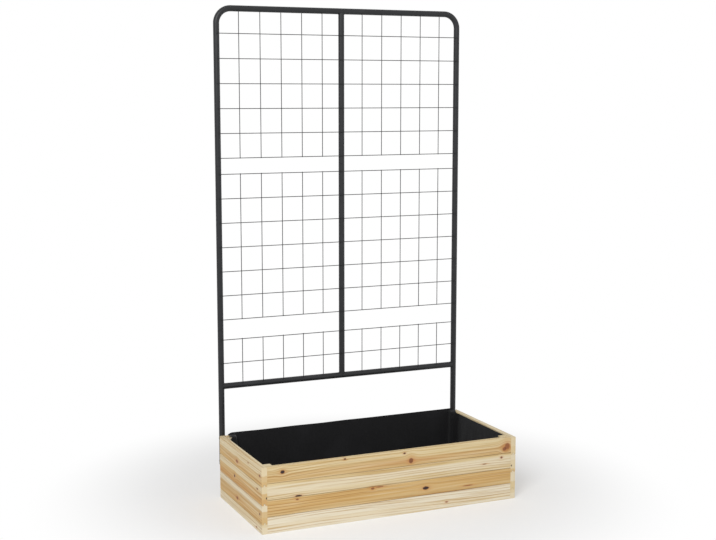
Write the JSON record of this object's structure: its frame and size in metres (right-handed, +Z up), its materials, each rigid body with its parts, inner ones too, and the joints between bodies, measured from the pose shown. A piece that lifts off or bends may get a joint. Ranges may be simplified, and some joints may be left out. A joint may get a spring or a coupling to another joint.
{
  "type": "planter with trellis",
  "caption": "Oblong softwood floor planter with a fabric liner and a tall black trellis of bent tube and welded wire fixed to its back.",
  "frame": {"origin": "on the ground, in the middle of the footprint of the whole product, posts and their screws included", "axes": "+X along the box to the right as seen from the front, +Y from the front to the trellis at the back, +Z up"},
  "size_m": [1, 0.4856, 1.81],
  "materials": {
    "wall_wood": "planed softwood boards, pale and knotty, unpainted",
    "frame_wood": "sawn softwood",
    "liner_fabric": "black non-woven fabric",
    "black_steel": "satin black powder coat",
    "zinc_steel": "bright zinc plate",
    "cap_plastic": "matt black plastic"
  },
  "bodies": {
    "root": {"back_board_1": "wall_wood", "back_board_2": "wall_wood", "back_board_3": "wall_wood", "back_board_4": "wall_wood", "centre_post_lower": "black_steel", "centre_post_middle": "black_steel", "centre_post_upper": "black_steel", "corner_batten_back_left": "frame_wood", "corner_batten_back_right": "frame_wood", "corner_batten_front_left": "frame_wood", "corner_batten_front_right": "frame_wood", "crossbar": "black_steel", "fabric_liner": "liner_fabric", "floor_rail_back": "frame_wood", "floor_rail_front": "frame_wood", "floor_slat_1": "frame_wood", "floor_slat_10": "frame_wood", "floor_slat_2": "frame_wood", "floor_slat_3": "frame_wood", "floor_slat_4": "frame_wood", "floor_slat_5": "frame_wood", "floor_slat_6": "frame_wood", "floor_slat_7": "frame_wood", "floor_slat_8": "frame_wood", "floor_slat_9": "frame_wood", "front_board_1": "wall_wood", "front_board_2": "wall_wood", "front_board_3": "wall_wood", "front_board_4": "wall_wood", "left_end_board_1": "wall_wood", "left_end_board_2": "wall_wood", "left_end_board_3": "wall_wood", "left_end_board_4": "wall_wood", "lower_post_left": "black_steel", "lower_post_right": "black_steel", "middle_post_left": "black_steel", "middle_post_right": "black_steel", "post_coach_screws": "zinc_steel", "post_foot_caps": "cap_plastic", "post_washers": "zinc_steel", "right_end_board_1": "wall_wood", "right_end_board_2": "wall_wood", "right_end_board_3": "wall_wood", "right_end_board_4": "wall_wood", "upper_arch": "black_steel", "wire_panel_lower": "black_steel", "wire_panel_middle": "black_steel", "wire_panel_upper": "black_steel"}
  },
  "joints": []
}
